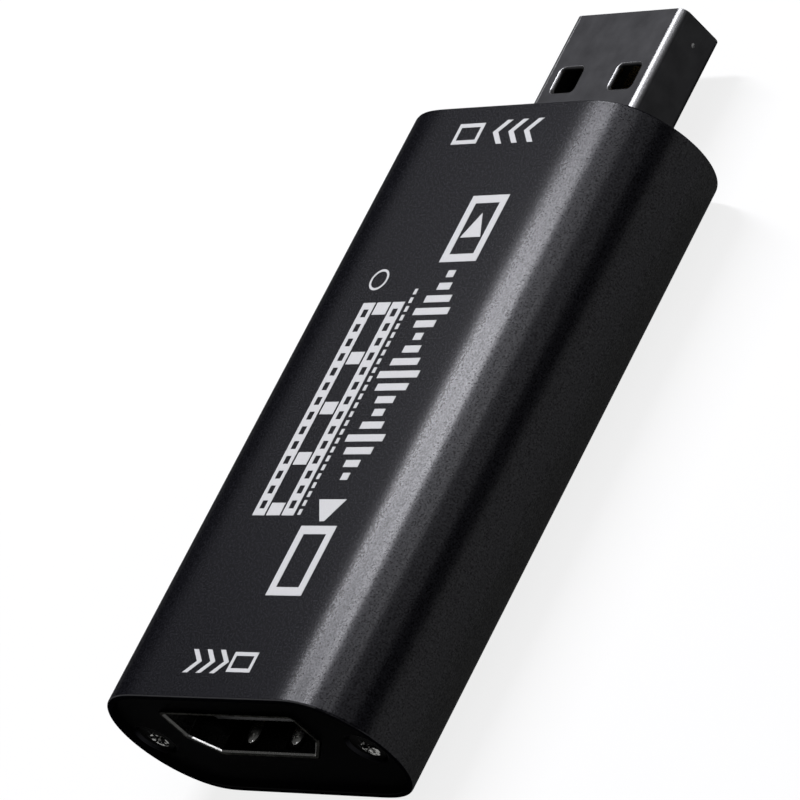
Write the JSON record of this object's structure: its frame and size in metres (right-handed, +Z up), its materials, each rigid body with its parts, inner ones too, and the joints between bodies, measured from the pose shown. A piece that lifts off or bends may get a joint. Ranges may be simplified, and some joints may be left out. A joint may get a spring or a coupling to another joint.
{
  "type": "video capture box",
  "caption": "Pocket video capture box: flat-oval aluminium tube with a video input socket in one end plate and a computer plug standing out of the other.",
  "frame": {"origin": "under the middle of the whole length, on the flat face that the box lies on", "axes": "+X along the length, towards the output plug; +Z up, out of the printed face; Y across"},
  "size_m": [0.0654, 0.0286, 0.0126],
  "materials": {
    "anodised_black": "sandblasted and black anodised",
    "plate_black": "satin black anodised",
    "screw_steel": "black-plated steel, worn bright on the cross",
    "socket_nickel": "black-nickel-plated spring steel",
    "plug_nickel": "black-nickel-plated steel, lightly handled",
    "insulator_black": "glass-filled moulding",
    "contact_gold": "gold-plated",
    "board_laminate": "green solder mask",
    "solder": "bright solder",
    "chip_resin": "moulded resin",
    "tinned_lead": "tin-plated",
    "crystal_ceramic": "fired ceramic",
    "crystal_lid": "satin metal",
    "ferrite_grey": "pressed ferrite",
    "tantalum_resin": "moulded resin",
    "capacitor_ceramic": "fired ceramic",
    "resistor_ceramic": "glazed film",
    "print_white": "screen-printed ink"
  },
  "bodies": {
    "capture_box": {"housing_shell": "anodised_black", "input_end_plate": "plate_black", "output_end_plate": "plate_black", "input_end_screws": "screw_steel", "output_end_screws": "screw_steel", "circuit_board": "board_laminate", "leg_solder_joints": "solder", "input_socket_shell": "socket_nickel", "input_socket_insulator": "insulator_black", "input_socket_upper_contacts": "contact_gold", "input_socket_lower_contacts": "contact_gold", "output_plug_shell": "plug_nickel", "output_plug_insulator": "insulator_black", "output_plug_contacts": "contact_gold", "capture_chip": "chip_resin", "capture_chip_leads": "tinned_lead", "memory_chip": "chip_resin", "memory_chip_leads": "tinned_lead", "voltage_regulators": "chip_resin", "voltage_regulator_leads": "tinned_lead", "surge_arrays": "chip_resin", "surge_array_leads": "tinned_lead", "crystal_base": "crystal_ceramic", "crystal_lid": "crystal_lid", "power_inductor": "ferrite_grey", "inductor_pads": "tinned_lead", "tantalum_capacitor": "tantalum_resin", "tantalum_pads": "tinned_lead", "ceramic_capacitors": "capacitor_ceramic", "capacitor_terminals": "tinned_lead", "chip_resistors": "resistor_ceramic", "resistor_terminals": "tinned_lead"},
    "floor_springs": {"input_socket_floor_springs": "socket_nickel"},
    "ceiling_springs": {"input_socket_ceiling_springs": "socket_nickel"}
  },
  "joints": [
    {"name": "floor_springs_flex", "type": "hinge", "parent": "capture_box", "child": "floor_springs", "pos_m": [-0.02575, 0, 0.00513], "axis": [0, -1, 0], "range_deg": [0, 3.2], "stiffness_Nm_per_rad": 0.22},
    {"name": "ceiling_springs_flex", "type": "hinge", "parent": "capture_box", "child": "ceiling_springs", "pos_m": [-0.02575, 0, 0.01008], "axis": [0, 1, 0], "range_deg": [0, 3.2], "stiffness_Nm_per_rad": 0.22}
  ]
}
